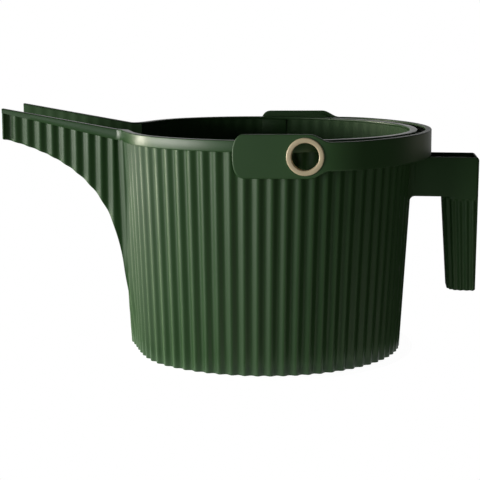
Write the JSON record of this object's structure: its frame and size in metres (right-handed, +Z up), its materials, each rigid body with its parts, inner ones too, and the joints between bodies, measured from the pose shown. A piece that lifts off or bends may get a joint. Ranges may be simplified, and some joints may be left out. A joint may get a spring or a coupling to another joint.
{
  "type": "pouring bucket",
  "caption": "Round fluted bucket with an open trough spout, a hollow fluted rear grip and a carrying bail that folds back over the rim, with a ring-lined eyelet in each bail plate.",
  "frame": {"origin": "on the bucket's axis, on the surface that the base stands on", "axes": "+Z up along the bucket's axis, +X towards the rear grip, so the spout points along -X, and -Y towards the side that the picture shows"},
  "size_m": [0.461, 0.313, 0.2353],
  "materials": {
    "green_plastic": "fine matt moulded surface",
    "bail_plastic": "fine matt moulded surface",
    "eyelet_ring": "satin champagne"
  },
  "bodies": {
    "bucket": {"bucket_wall": "green_plastic", "bucket_floor": "green_plastic", "rim_band": "green_plastic", "spout": "green_plastic", "spout_rim_near": "green_plastic", "spout_rim_far": "green_plastic", "rear_arm": "green_plastic", "rear_grip": "green_plastic", "pivot_pad_near": "green_plastic", "pivot_pad_far": "green_plastic", "pivot_stud_near": "green_plastic", "pivot_stud_far": "green_plastic"},
    "bail": {"bail": "bail_plastic", "eyelet_near": "eyelet_ring", "eyelet_far": "eyelet_ring", "eyelet_washer_near": "bail_plastic", "eyelet_washer_far": "bail_plastic"}
  },
  "joints": [
    {"name": "bail_hinge", "type": "hinge", "parent": "bucket", "child": "bail", "pos_m": [0, 0, 0.203], "axis": [0, -1, 0], "range_deg": [0, 168]}
  ]
}
